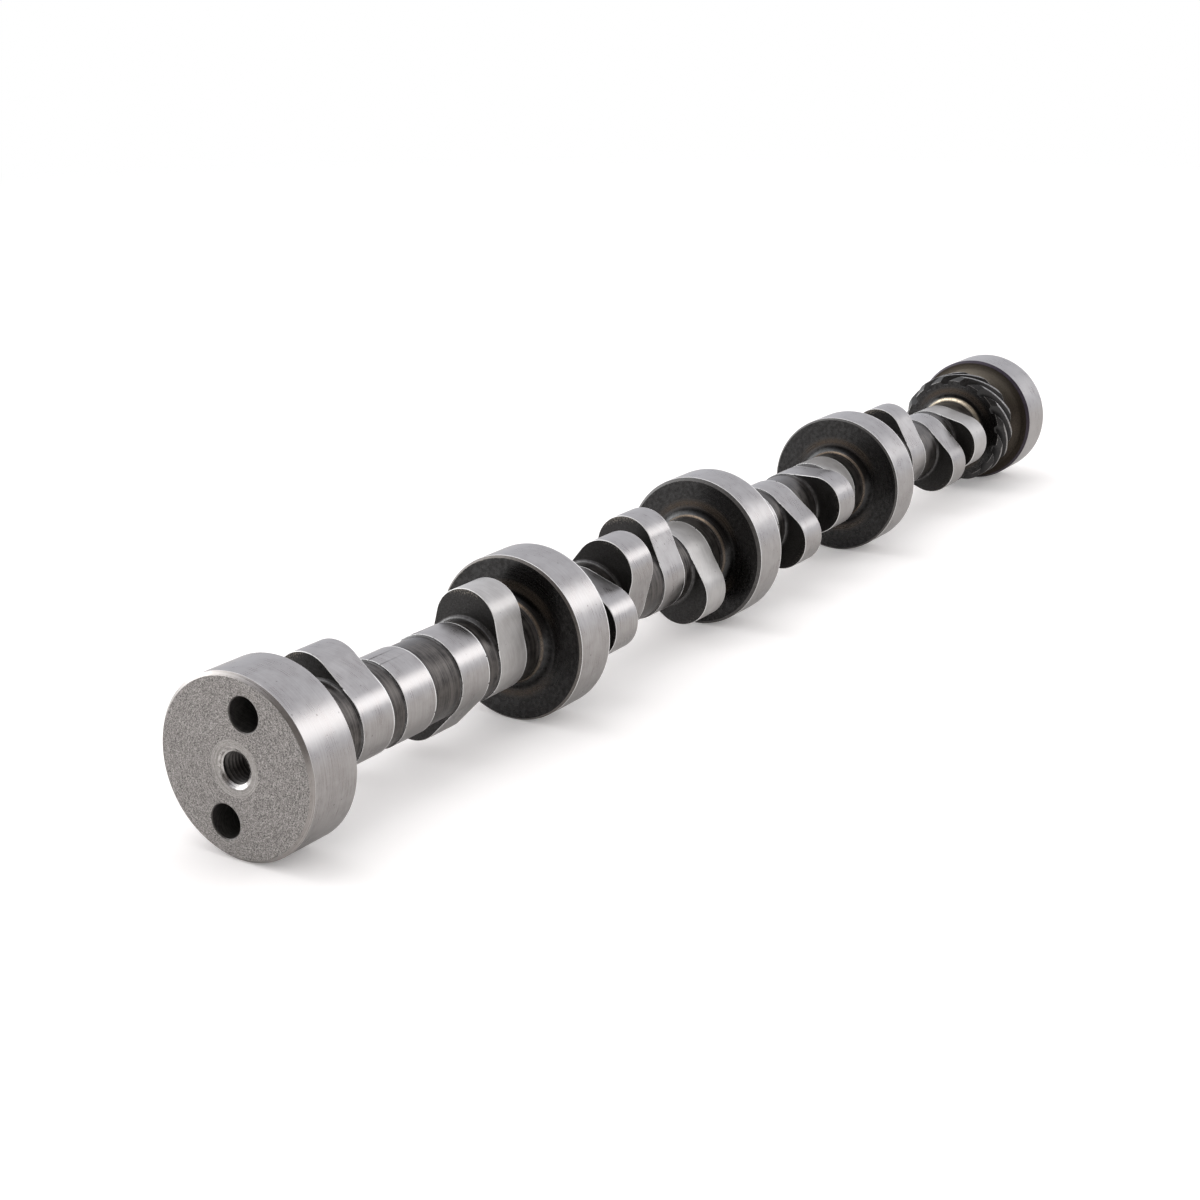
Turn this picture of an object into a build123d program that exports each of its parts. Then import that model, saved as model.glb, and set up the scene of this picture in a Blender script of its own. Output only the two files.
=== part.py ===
# Roller camshaft of a V8 pushrod engine, turned, milled and ground from one steel bar
#
# The frame: X runs along the shaft towards its nose and Z is up as the shaft lies. The origin is on the
# axis, in the thrust face at the front of the front journal, from which every station is measured.
# Lengths are in millimetres and angles in degrees. Angles about the shaft are counted from straight up,
# clockwise as seen from the rear.

import os
from math import acos, atan, cos, pi, radians, sin, tan

from build123d import *

# Layout along the shaft
bore_pitch = 111.25
second_journal_station = 148.84
overall_to_rear_face = 500.54

# Bearing journals, the front one the largest
front_journal_diameter = 52.86
journal_step = 0.381
front_journal_land = 17.18
journal_width = 16.56
rear_journal_width = 17.67
edge_break = 0.5
rear_face_break = 1.1
front_journal_back_break_length = 1.6
front_journal_back_break_depth = 0.9

# Shaft between the lobes
shaft_diameter = 24.9
journal_foot_radius = 4.0
lobe_foot_radius = 1.2

# Lobes, as two circles and their common tangents
base_circle_radius = 13.0
intake_lift = 8.81
exhaust_lift = 9.07
nose_radius = 10.75
lobe_width = 12.74
inner_lobe_offset = 12.65
outer_lobe_offset = 31.3

# Timing, with the centrelines in crank degrees from top dead centre
firing_order = (1, 3, 7, 2, 6, 5, 4, 8)
cylinders_per_bank = 4
half_bank_angle = 42.3
intake_centreline = 108.0
exhaust_centreline = 112.7
resting_turn = 175.9

# Distributor drive gear
gear_teeth = 15
gear_tip_radius = 23.4
gear_module = 1.6
tooth_depth_in_modules = 2.25
gear_pressure_angle = 20.0
gear_lead = 90.45
gear_back_station = 41.5
gear_front_station = 28.0
gear_end_break = 2.0
gear_turn = -0.4
gear_neck_radius = 19.0

# Nose
thrust_hub_diameter = 36.5
thrust_hub_length = 6.35
pilot_diameter = 19.0
pilot_length = 6.0
nose_break = 0.8
dowel_hole_diameter = 6.35
dowel_circle_radius = 13.6
dowel_hole_depth = 14.0
dowel_hole_turn = 0.0
nose_bolt_hole_diameter = 7.94
nose_bolt_hole_depth = 30.0
nose_countersink_diameter = 11.0
nose_countersink_angle = 60.0

# Rear face
rear_centre_hole_diameter = 8.8
rear_centre_hole_depth = 26.0
rear_countersink_diameter = 11.3
rear_countersink_angle = 120.0
centre_recess_diameter = 15.6
centre_recess_depth = 0.15
drive_hole_diameter = 9.525
drive_hole_circle_radius = 15.875
drive_hole_depth = 14.0
drive_hole_turn = 14.7

drill_point_angle = 118.0

shaft_radius = shaft_diameter / 2
rear_face = -overall_to_rear_face
second_journal = -second_journal_station
nose_face = thrust_hub_length + pilot_length


def journal_radius(number):
    """Radius of a journal, numbered from 1 at the front."""
    return (front_journal_diameter - journal_step * (number - 1)) / 2


def turned(outline):
    """Solid turned about the shaft's axis from edges that close around the outline's upper half."""
    return revolve(make_face(Plane.XZ * outline), Axis.X)


def turned_bar(*corners):
    """Solid turned about the shaft's axis from corners given as station and radius."""
    return turned(Polyline(*corners, close=True))


def turned_disc(back, front, radius, back_break=(0, 0), front_break=(0, 0)):
    """Disc from station back to front, with its rims broken by a length and a depth."""
    back_length, back_depth = back_break
    front_length, front_depth = front_break
    rim = [
        (back, radius - back_depth),
        (back + back_length, radius),
        (front - front_length, radius),
        (front, radius - front_depth),
    ]
    corners = [point for i, point in enumerate(rim) if point not in rim[:i]]
    return turned_bar((back, 0), *corners, (front, 0))


def foot(station, direction, radius, stands_on=shaft_radius):
    """Hollow fillet from a face across the shaft down to the round that it stands on."""
    end = station + direction * radius
    top = stands_on + radius
    hollow = (end - direction * radius * cos(pi / 4), top - radius * sin(pi / 4))
    outline = ThreePointArc((station, top), hollow, (end, stands_on))
    outline += Polyline((end, stands_on), (end, 0), (station, 0), (station, top))
    return turned(outline)


def across(station, turn):
    """Plane across the shaft at a station, facing the nose, with its own X axis at the given turn."""
    up = radians(turn)
    return Plane((station, 0, 0), x_dir=(0, -sin(up), cos(up)), z_dir=(1, 0, 0))


def polar(radius, turn):
    """Point of a plane across the shaft, at a radius and at an angle in radians from that plane's X axis."""
    return (radius * cos(turn), radius * sin(turn))


def journals():
    """The five bearing journals from the front, with a foot wherever the shaft goes on."""
    plain = (edge_break, edge_break)
    back = -front_journal_land - front_journal_back_break_length
    back_break = (front_journal_back_break_length, front_journal_back_break_depth)
    made = [turned_disc(back, 0, journal_radius(1), back_break, plain)]
    made.append(foot(back, -1, journal_foot_radius, gear_neck_radius))
    for number in (2, 3, 4):
        centre = second_journal - bore_pitch * (number - 2)
        ends = (centre - journal_width / 2, centre + journal_width / 2)
        made.append(turned_disc(*ends, journal_radius(number), plain, plain))
        made += [foot(ends[0], -1, journal_foot_radius), foot(ends[1], 1, journal_foot_radius)]
    rear_end = rear_face + rear_journal_width
    face_break = (rear_face_break, rear_face_break)
    made.append(turned_disc(rear_face, rear_end, journal_radius(5), face_break, plain))
    made.append(foot(rear_end, 1, journal_foot_radius))
    return made


def lobe_outline(lift):
    """Closed cam outline with its nose along the X axis: base circle, nose circle and two tangents."""
    centre_distance = base_circle_radius + lift - nose_radius
    lean = acos((base_circle_radius - nose_radius) / centre_distance)
    base_x, base_y = polar(base_circle_radius, lean)
    nose_x, nose_y = polar(nose_radius, lean)
    nose_x += centre_distance
    outline = ThreePointArc((base_x, base_y), (-base_circle_radius, 0), (base_x, -base_y))
    outline += Line((base_x, -base_y), (nose_x, -nose_y))
    outline += ThreePointArc((nose_x, -nose_y), (base_circle_radius + lift, 0), (nose_x, nose_y))
    outline += Line((nose_x, nose_y), (base_x, base_y))
    return outline


def lobe_turn(cylinder, centreline_turn):
    """Turn of a lobe's nose, from the cylinder's place in the firing order and its bank."""
    bank = -half_bank_angle if cylinder <= cylinders_per_bank else half_bank_angle
    crank_turn = firing_order.index(cylinder) * 720 / len(firing_order)
    return resting_turn - bank + crank_turn / 2 + centreline_turn


def lobe(station, lift, turn):
    """One lobe about its mid station, with its feet turned with the shaft and cut to the cam outline."""
    back = station - lobe_width / 2
    front = station + lobe_width / 2
    blank = turned_disc(back, front, 2 * (base_circle_radius + lift))
    blank += [foot(back, -1, lobe_foot_radius), foot(front, 1, lobe_foot_radius)]
    outline = make_face(across(back - lobe_foot_radius, turn) * lobe_outline(lift))
    return blank & extrude(outline, lobe_width + 2 * lobe_foot_radius)


def lobes():
    """The sixteen lobes: in each bay the left bank's pair and the right bank's pair, intakes outside."""
    intake = 180 + intake_centreline / 2
    exhaust = 180 - exhaust_centreline / 2
    made = []
    for bay in range(cylinders_per_bank):
        middle = second_journal + bore_pitch / 2 - bore_pitch * bay
        right = bay + 1
        left = right + cylinders_per_bank
        made.append(lobe(middle - outer_lobe_offset, intake_lift, lobe_turn(left, intake)))
        made.append(lobe(middle - inner_lobe_offset, exhaust_lift, lobe_turn(right, exhaust)))
        made.append(lobe(middle + inner_lobe_offset, exhaust_lift, lobe_turn(left, exhaust)))
        made.append(lobe(middle + outer_lobe_offset, intake_lift, lobe_turn(right, intake)))
    return made


def gear_section(root_radius):
    """Toothed outline of the gear across the shaft, with flanks through three points of their involute."""
    pitch_radius = gear_tip_radius - gear_module
    helix = atan(2 * pi * pitch_radius / gear_lead)
    pressure = atan(tan(radians(gear_pressure_angle)) / cos(helix))
    base_radius = pitch_radius * cos(pressure)
    step = 2 * pi / gear_teeth

    def involute(angle):
        return tan(angle) - angle

    def half_tooth(radius):
        return step / 4 + involute(pressure) - involute(acos(base_radius / radius))

    flank = [(radius, half_tooth(radius)) for radius in (root_radius, pitch_radius, gear_tip_radius)]
    outline = Curve()
    for tooth in range(gear_teeth):
        middle = tooth * step
        rising = [polar(radius, middle - half) for radius, half in flank]
        falling = [polar(radius, middle + half) for radius, half in reversed(flank)]
        next_root = polar(root_radius, middle + step - flank[0][1])
        outline += ThreePointArc(*rising)
        outline += ThreePointArc(rising[-1], polar(gear_tip_radius, middle), falling[0])
        outline += ThreePointArc(*falling)
        outline += ThreePointArc(falling[-1], polar(root_radius, middle + step / 2), next_root)
    return make_face(outline)


def gear():
    """Helical gear, its toothed section twisted along the shaft and broken at both ends, and its neck."""
    root_radius = gear_tip_radius - tooth_depth_in_modules * gear_module
    back = -gear_back_station
    front = -gear_front_station
    section = across(back, gear_turn) * gear_section(root_radius)
    twist = 360 * (front - back) / gear_lead
    teeth = Solid.extrude_linear_with_rotation(section.face(), (back, 0, 0), (front - back, 0, 0), twist)
    ends = (gear_end_break, gear_end_break)
    blank = turned_disc(back, front, gear_tip_radius, ends, ends)
    neck = turned_disc(front, 0, gear_neck_radius)
    return [blank & teeth, foot(back, -1, journal_foot_radius), neck]


def nose():
    """Thrust hub and sprocket pilot in front of the thrust face."""
    hub = thrust_hub_diameter / 2
    pilot = pilot_diameter / 2
    corners = [
        (0, 0),
        (0, hub),
        (thrust_hub_length - nose_break, hub),
        (thrust_hub_length, hub - nose_break),
        (thrust_hub_length, pilot),
        (nose_face - nose_break, pilot),
        (nose_face, pilot - nose_break),
        (nose_face, 0),
    ]
    return turned_bar(*corners)


def drilled(mouth, direction, diameter, depth, countersink=0.0, angle=0.0):
    """Blind hole to cut, from its mouth along X, with a drill point and an optional countersink."""
    radius = diameter / 2
    point = radius / tan(radians(drill_point_angle / 2))
    corners = [(0, 0), (0, radius), (depth, radius), (depth + point, 0)]
    if countersink > diameter:
        sink = (countersink - diameter) / 2 / tan(radians(angle / 2))
        corners[1:2] = [(0, countersink / 2), (sink, radius)]
    along = Plane(mouth, x_dir=(direction, 0, 0), z_dir=(0, -1, 0))
    return revolve(make_face(along * Polyline(*corners, close=True)), Axis(mouth, (1, 0, 0)))


def holes():
    """Every blind hole of the two ends, and the shallow recess around the rear centre hole."""
    nose_sink = (nose_countersink_diameter, nose_countersink_angle)
    rear_sink = (rear_countersink_diameter, rear_countersink_angle)
    nose_hole = (nose_bolt_hole_diameter, nose_bolt_hole_depth, *nose_sink)
    rear_hole = (rear_centre_hole_diameter, rear_centre_hole_depth, *rear_sink)
    floor = rear_face + centre_recess_depth
    cuts = [drilled((nose_face, 0, 0), -1, *nose_hole), drilled((floor, 0, 0), 1, *rear_hole)]
    dowel = across(thrust_hub_length, dowel_hole_turn).from_local_coords((dowel_circle_radius, 0))
    cuts.append(drilled(dowel, -1, dowel_hole_diameter, dowel_hole_depth))
    for turn in (drive_hole_turn, drive_hole_turn + 180):
        mouth = across(rear_face, turn).from_local_coords((drive_hole_circle_radius, 0))
        cuts.append(drilled(mouth, 1, drive_hole_diameter, drive_hole_depth))
    rim = (rear_face, centre_recess_diameter / 2)
    cuts.append(turned_bar((rear_face, 0), rim, (floor, rear_countersink_diameter / 2), (floor, 0)))
    return cuts


shaft = turned_bar((rear_face, 0), (rear_face, shaft_radius), (0, shaft_radius), (0, 0))
camshaft = shaft + journals() + lobes() + gear() + [nose()]
camshaft -= holes()

os.makedirs("parts", exist_ok=True)
export_step(camshaft, "parts/camshaft.step")
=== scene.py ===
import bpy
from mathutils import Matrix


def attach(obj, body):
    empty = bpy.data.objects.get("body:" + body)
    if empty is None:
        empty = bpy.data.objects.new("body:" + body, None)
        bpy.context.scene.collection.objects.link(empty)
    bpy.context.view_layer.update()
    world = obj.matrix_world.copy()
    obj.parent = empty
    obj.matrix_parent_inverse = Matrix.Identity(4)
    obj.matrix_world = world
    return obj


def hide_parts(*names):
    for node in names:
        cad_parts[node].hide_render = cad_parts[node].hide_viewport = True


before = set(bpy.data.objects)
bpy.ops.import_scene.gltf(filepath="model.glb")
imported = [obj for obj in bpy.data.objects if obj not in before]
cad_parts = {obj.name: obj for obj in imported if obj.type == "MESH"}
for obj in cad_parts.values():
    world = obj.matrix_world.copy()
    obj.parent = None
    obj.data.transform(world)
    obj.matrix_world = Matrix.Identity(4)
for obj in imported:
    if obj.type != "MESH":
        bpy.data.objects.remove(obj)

"""A V8 roller camshaft as it lies on a pale studio floor: pieces, finishes, light and camera.

Lengths are written in millimetres and angles in degrees, and are scaled where they meet Blender. X runs
along the shaft towards the nose, Z is up and the origin is in the thrust face. Turns about the shaft are
counted from straight up, clockwise as seen from the rear.
"""

import logging
import math
from contextlib import contextmanager
from dataclasses import dataclass, field, replace
from enum import Enum
from typing import Iterator, Sequence

import bpy
from mathutils import Matrix, Vector

Piece, Material = bpy.types.Object, bpy.types.Material
Tree, Node, Socket = bpy.types.NodeTree, bpy.types.Node, bpy.types.NodeSocket
Triple = tuple[float, float, float]

LOG = logging.getLogger("camshaft")
MM = 0.001
TURN_STEPS = 160
HOLE_STEPS = 72
LOBE_STEPS = 180
GUARD = 0.03
WELD = 1e-6
DRILL_POINT = 0.6
BROKEN = 1
SHARP_ANGLE = 42.0
SMOOTH_ANGLE = 24.0
FAR = 1e4
ANY = (-FAR, FAR)
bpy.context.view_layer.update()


class Side(Enum):
    """Which way a hole or a hollow faces along the shaft."""

    REAR = -1
    FRONT = 1


class Kind(Enum):
    """Which valve a lobe opens."""

    INTAKE = "intake"
    EXHAUST = "exhaust"


@dataclass(frozen=True)
class Corner:
    """Corner of a turned profile.

    Attributes:
        x: Station along the shaft.
        r: Radius from the axis.
        fillet: Radius that softens the corner, or 0 for a sharp one.
    """

    x: float
    r: float
    fillet: float = 0.0


@dataclass(frozen=True)
class Layout:
    """Sizes of the shaft that more than one sub-assembly uses."""

    bore_pitch: float = 111.25
    second_journal: float = -148.84
    rear_face: float = -500.54
    front_diameter: float = 52.86
    journal_step: float = 0.381
    journal_width: float = 16.56
    shaft_radius: float = 12.45
    foot: float = 4.0

    def journal_radius(self, number: int) -> float:
        """Returns the radius of a journal, numbered from 1 at the front."""
        return (self.front_diameter - self.journal_step * (number - 1)) / 2


LAYOUT = Layout()


def profile(start: float, *rows: tuple[float, ...]) -> list[Corner]:
    """Returns the corners of rows of station, radius and fillet, with stations counted from a start."""
    return [Corner(start + x, *rest) for x, *rest in rows]


# Modelling


def pick(piece: Piece) -> None:
    """Makes a piece the only selected and active one.

    Args:
        piece: Piece to select.
    """
    bpy.ops.object.select_all(action="DESELECT")
    piece.select_set(True)
    bpy.context.view_layer.objects.active = piece


@contextmanager
def editing(piece: Piece) -> Iterator[None]:
    """Opens a piece's mesh for editing with everything selected, and closes it again.

    Args:
        piece: Piece to edit.

    Yields:
        Once, in edit mode.
    """
    pick(piece)
    bpy.ops.object.mode_set(mode="EDIT")
    bpy.ops.mesh.select_all(action="SELECT")
    yield
    bpy.ops.object.mode_set(mode="OBJECT")


def welded(inside: bool = False) -> None:
    """Merges the vertices that meet in the mesh being edited, and turns its faces one way.

    Args:
        inside: Whether the faces look inwards.
    """
    bpy.ops.mesh.select_all(action="SELECT")
    bpy.ops.mesh.remove_doubles(threshold=WELD)
    bpy.ops.mesh.normals_make_consistent(inside=inside)


def modified(piece: Piece, kind: str, **settings: object) -> None:
    """Puts a modifier on a piece and applies it.

    Args:
        piece: Piece to work on.
        kind: Type of the modifier.
        **settings: Its settings.
    """
    pick(piece)
    modifier = piece.modifiers.new(kind.lower(), kind)
    for name, value in settings.items():
        setattr(modifier, name, value)
    bpy.ops.object.modifier_apply(modifier=modifier.name)


def radial(radius: float, turn: float) -> tuple[float, float]:
    """Returns the Y and Z of a point by its distance from the axis and its turn."""
    angle = math.radians(turn)
    return -radius * math.sin(angle), radius * math.cos(angle)


def softened(corners: Sequence[Corner], steps: int = 5) -> list[tuple[float, float]]:
    """Rounds the corners of a profile.

    Each rounding gets a guard point on either side, which keeps the stretches beside it shaded flat.

    Args:
        corners: Profile from end to end.
        steps: Segments of each rounding.

    Returns:
        Station and radius of every point.
    """
    points: list[tuple[float, float]] = []
    for i, corner in enumerate(corners):
        here = Vector((corner.x, corner.r))
        if not corner.fillet or i in (0, len(corners) - 1):
            points.append((corner.x, corner.r))
            continue
        before, after = ((Vector((corners[j].x, corners[j].r)) - here).normalized() for j in (i - 1, i + 1))
        half = before.angle(after) / 2
        centre = here + (before + after).normalized() * corner.fillet / math.sin(half)
        reach = corner.fillet / math.tan(half)
        start = here + before * reach - centre
        sweep = start.angle_signed(here + after * reach - centre)
        points.append(tuple(here + before * (reach + GUARD)))
        for step in range(steps + 1):
            spoke = start.copy()
            spoke.rotate(Matrix.Rotation(-sweep * step / steps, 2))
            points.append(tuple(centre + spoke))
        points.append(tuple(here + after * (reach + GUARD)))
    return points


def drawn(name: str, points: Sequence[Triple]) -> Piece:
    """Draws a line by extruding a vertex from point to point.

    Args:
        name: Name of the piece.
        points: Its points.

    Returns:
        The piece.
    """
    bpy.ops.mesh.primitive_plane_add(size=MM, location=tuple(value * MM for value in points[0]))
    piece = bpy.context.object
    piece.name = piece.data.name = name
    bpy.ops.object.transform_apply()
    with editing(piece):
        bpy.ops.mesh.merge(type="CENTER")
        for here, there in zip(points, points[1:]):
            step = {"value": tuple((b - a) * MM for a, b in zip(here, there))}
            bpy.ops.mesh.extrude_vertices_move(TRANSFORM_OT_translate=step)
    return piece


def turned(name: str, corners: Sequence[Corner], steps: int = TURN_STEPS) -> Piece:
    """Turns a profile about the shaft's axis.

    Args:
        name: Name of the piece.
        corners: Profile, from the axis to the axis.
        steps: Segments around.

    Returns:
        The closed piece.
    """
    piece = drawn(name, [(x, 0, r) for x, r in softened(corners)])
    with editing(piece):
        bpy.ops.mesh.spin(steps=steps, angle=2 * math.pi, center=(0, 0, 0), axis=(1, 0, 0))
        welded()
    return piece


def placed(piece: Piece, offset: Sequence[float], turn: float = 0.0) -> None:
    """Rolls a piece about the shaft's axis and moves it, and keeps its object at the origin.

    Args:
        piece: Piece to place.
        offset: How far it moves along X, Y and Z.
        turn: How far it rolls, clockwise from the rear.
    """
    pick(piece)
    piece.location = Vector(offset) * MM
    piece.rotation_euler = (math.radians(turn), 0, 0)
    bpy.ops.object.transform_apply()


def combined(piece: Piece, tool: Piece, operation: str) -> None:
    """Cuts or trims a piece with a tool, which is used up."""
    modified(piece, "BOOLEAN", operation=operation, solver="EXACT", object=tool)
    bpy.data.objects.remove(tool)


def edge_broken(piece: Piece, width: float) -> None:
    """Breaks every sharp edge of a piece, and marks the new faces as broken.

    Args:
        piece: Piece to work on.
        width: Width of the break.
    """
    for _ in range(BROKEN + 1):
        piece.data.materials.append(None)
    sharp = {"limit_method": "ANGLE", "angle_limit": math.radians(SHARP_ANGLE)}
    modified(piece, "BEVEL", material=BROKEN, width=width * MM, segments=1, use_clamp_overlap=False, **sharp)


# Finishes


class Board:
    """Node tree with short calls to add and join nodes."""

    def __init__(self, tree: Tree) -> None:
        """Takes over a tree."""
        self.tree = tree

    @classmethod
    def of(cls, owner: Material | bpy.types.World) -> "Board":
        """Clears the nodes of a material or world.

        Args:
            owner: The material or world.

        Returns:
            A board on its tree.
        """
        owner.use_nodes = True
        owner.node_tree.nodes.clear()
        return cls(owner.node_tree)

    def add(self, kind: str, settings: dict | None = None, *values: object, **inputs: object) -> Node:
        """Adds a node.

        Args:
            kind: Node type without its prefix.
            settings: Attributes of the node itself.
            *values: Values or sockets of its first inputs.
            **inputs: Values or sockets, by input name with spaces as underscores.

        Returns:
            The node.
        """
        node = self.tree.nodes.new("ShaderNode" + kind)
        for name, value in (settings or {}).items():
            setattr(node, name, value)
        for socket, value in zip(node.inputs, values):
            self.feed(socket, value)
        for name, value in inputs.items():
            self.feed(node.inputs[name.replace("_", " ")], value)
        return node

    def feed(self, socket: Socket, value: object) -> None:
        """Joins or sets one input.

        Args:
            socket: Input to feed.
            value: Another node's output, or a plain value.
        """
        if isinstance(value, Socket):
            self.tree.links.new(value, socket)
        else:
            socket.default_value = value

    def math(self, operation: str, *values: object) -> Socket:
        """Returns the result of an operation on numbers or sockets."""
        return self.add("Math", {"operation": operation}, *values).outputs[0]

    def ramp(self, value: object, low: object, high: object) -> Socket:
        """Returns a value stretched smoothly so that low becomes 0 and high becomes 1."""
        settings = {"interpolation_type": "SMOOTHSTEP"}
        return self.add("MapRange", settings, value, low, high, 0.0, 1.0).outputs[0]

    def mix(self, share: object, *colours: object) -> Socket:
        """Mixes two colours.

        Args:
            share: Share of the second.
            *colours: The colours, as triples or sockets.

        Returns:
            The mixed colour.
        """
        node = self.add("Mix", {"data_type": "RGBA"}, share)
        for socket, colour in zip(node.inputs[6:8], colours):
            self.feed(socket, (*colour, 1.0) if isinstance(colour, tuple) else colour)
        return node.outputs[2]

    def noise(self, place: Socket, **inputs: object) -> Socket:
        """Returns a noise texture's value."""
        return self.add("TexNoise", Vector=place, **inputs).outputs["Fac"]

    def group(self, tree: Tree, **inputs: object) -> bpy.types.bpy_prop_collection:
        """Returns the outputs of a node group placed on the board."""
        return self.add("Group", {"node_tree": tree}, **inputs).outputs

    def blend(self, share: object, first: Node, second: Node) -> Node:
        """Returns the node that mixes the shaders of two nodes."""
        return self.add("MixShader", None, share, first.outputs[0], second.outputs[0])


class Group(Board):
    """Node group that takes a position and plain values, and gives values."""

    def __init__(self, name: str, **takes: float) -> None:
        """Starts the group.

        Args:
            name: Name of the group.
            **takes: Its inputs apart from Position, with their defaults.
        """
        super().__init__(bpy.data.node_groups.new(name, "ShaderNodeTree"))
        sockets = self.tree.interface
        sockets.new_socket("Position", in_out="INPUT", socket_type="NodeSocketVector")
        for socket, default in takes.items():
            made = sockets.new_socket(socket, in_out="INPUT", socket_type="NodeSocketFloat")
            made.default_value = default
        self.taken = self.tree.nodes.new("NodeGroupInput").outputs
        self.place = self.taken["Position"]

    def give(self, **gives: Socket) -> Tree:
        """Ends the group.

        Args:
            **gives: What comes out of it, by name.

        Returns:
            The group.
        """
        for name in gives:
            self.tree.interface.new_socket(name, in_out="OUTPUT", socket_type="NodeSocketFloat")
        end = self.tree.nodes.new("NodeGroupOutput")
        for name, value in gives.items():
            self.feed(end.inputs[name], value)
        return self.tree

    def around(self) -> tuple[Socket, ...]:
        """Splits the position.

        Returns:
            X, Y, Z and the distance from the shaft's axis.
        """
        x, y, z = self.add("SeparateXYZ", Vector=self.place).outputs
        squares = [self.math("POWER", self.math("ABSOLUTE", axis), 2.0) for axis in (y, z)]
        return x, y, z, self.math("SQRT", self.math("ADD", *squares))


class Effects:
    """Node groups that several finishes share, each built once."""

    def __init__(self) -> None:
        """Builds the groups."""
        for build in (self._grain, self._specks, self._ring, self._wear_and_sheen, self._pits):
            build()

    def _grain(self) -> None:
        """Builds tool lines that run around the shaft, and a slow mottle."""
        board = Group("tool_grain", Lines=6000.0, Streak=120.0, Mottle=300.0)
        x, y, z, radius = board.around()
        along = board.math("MULTIPLY", board.math("ADD", x, radius), board.taken["Lines"])
        side, height = (board.math("MULTIPLY", axis, board.taken["Streak"]) for axis in (y, z))
        stretched = board.add("CombineXYZ", None, along, side, height).outputs[0]
        lines = board.noise(stretched, Scale=1.0, Detail=3.0, Roughness=0.6)
        mottle = board.noise(board.place, Scale=board.taken["Mottle"], Detail=4.0, Roughness=0.6)
        self.grain = board.give(Lines=lines, Mottle=mottle)

    def _specks(self) -> None:
        """Builds a few small specks and nicks."""
        board = Group("specks", Scale=700.0, Sparse=0.9)
        cells = board.add("TexVoronoi", Vector=board.place, Scale=board.taken["Scale"]).outputs
        chance = board.add("SeparateColor", None, cells["Color"]).outputs
        kept = board.math("GREATER_THAN", chance[0], board.taken["Sparse"])
        size = board.math("MULTIPLY", chance[1], 0.3)
        near = board.ramp(cells["Distance"], size, board.math("MULTIPLY", size, 0.4))
        self.specks = board.give(Specks=board.math("MULTIPLY", kept, near))

    def _ring(self) -> None:
        """Builds one soft ring of painted light around the shaft's axis, at its strongest straight above it,
        where the light falls.
        """
        board = Group("ring", Radius=0.015, Width=0.0006, Even=0.0, Below=0.0)
        *_, z, radius = board.around()
        away = board.math("ABSOLUTE", board.math("SUBTRACT", radius, board.taken["Radius"]))
        line = board.math("SUBTRACT", 1.0, board.ramp(away, 0.0, board.taken["Width"]))
        upright = board.math("DIVIDE", z, radius)
        above = board.ramp(upright, 0.3, 1.0)
        below = board.math("MULTIPLY", board.ramp(upright, -0.3, -1.0), board.taken["Below"])
        strength = board.math("MAXIMUM", board.math("MAXIMUM", above, below), board.taken["Even"])
        self.ring = board.give(Ring=board.math("MULTIPLY", line, strength))

    def _wear_and_sheen(self) -> None:
        """Builds the speckled band where a dark skin is rubbed through to bare steel, with painted sheen: the
        specks gather over the top left, where the light falls.
        """
        board = Group("rim_wear_and_sheen", Inner=0.023, Outer=0.026, Even=0.0)
        _, y, z, radius = board.around()
        band = board.ramp(radius, board.taken["Inner"], board.taken["Outer"])
        # Painted sheen: the band leans towards the top left, where the light falls.
        lean = board.math("ADD", board.math("MULTIPLY", y, 0.62), board.math("MULTIPLY", z, 0.78))
        towards = board.ramp(board.math("DIVIDE", lean, radius), -0.1, 0.8)
        share = board.math("MAXIMUM", towards, board.taken["Even"])
        wear_and_sheen_share = board.math("MULTIPLY", 0.42, board.math("MULTIPLY", band, share))
        threshold = board.math("SUBTRACT", 0.78, wear_and_sheen_share)
        speckle = board.noise(board.place, Scale=1900.0, Detail=5.0, Roughness=0.7)
        self.wear_and_sheen = board.give(Wear=board.ramp(speckle, threshold, board.math("ADD", threshold, 0.22)))

    def _pits(self) -> None:
        """Builds short curled marks, such as blasting and rough turning leave."""
        board = Group("pits", Scale=2400.0)
        curl = board.noise(board.place, Scale=board.taken["Scale"], Detail=1.0, Distortion=0.8)
        away = board.math("ABSOLUTE", board.math("SUBTRACT", curl, 0.5))
        mark = board.math("SUBTRACT", 1.0, board.ramp(away, 0.0, 0.1))
        patch = board.noise(board.place, Scale=board.math("MULTIPLY", board.taken["Scale"], 0.85), Detail=2.0)
        self.pits = board.give(Pits=board.math("MULTIPLY", mark, board.ramp(patch, 0.38, 0.58)))


@dataclass(frozen=True)
class Tint:
    """Soft coloured ring of painted light on a finish.

    Attributes:
        radius: Radius of the ring's middle.
        width: Distance at which it has faded out.
        colour: Linear colour.
        share: Strength at its middle, straight above the axis.
        even: Its least strength around the axis, as a share of that.
        below: Its strength straight below the axis, as a share of that.
    """

    radius: float
    width: float
    colour: Triple
    share: float
    even: float = 0.0
    below: float = 0.0


@dataclass(frozen=True)
class Wear:
    """Speckled band where the dark skin is rubbed through to bare steel, with painted sheen that gathers it
    where the light falls.

    Attributes:
        inner: Radius at which it starts.
        outer: Radius at which it is complete.
        colour: Linear colour of the bare specks.
        even: Its least strength around the shaft, from 0 to 1.
    """

    inner: float
    outer: float
    colour: Triple = (0.30, 0.28, 0.25)
    even: float = 0.0


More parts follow.
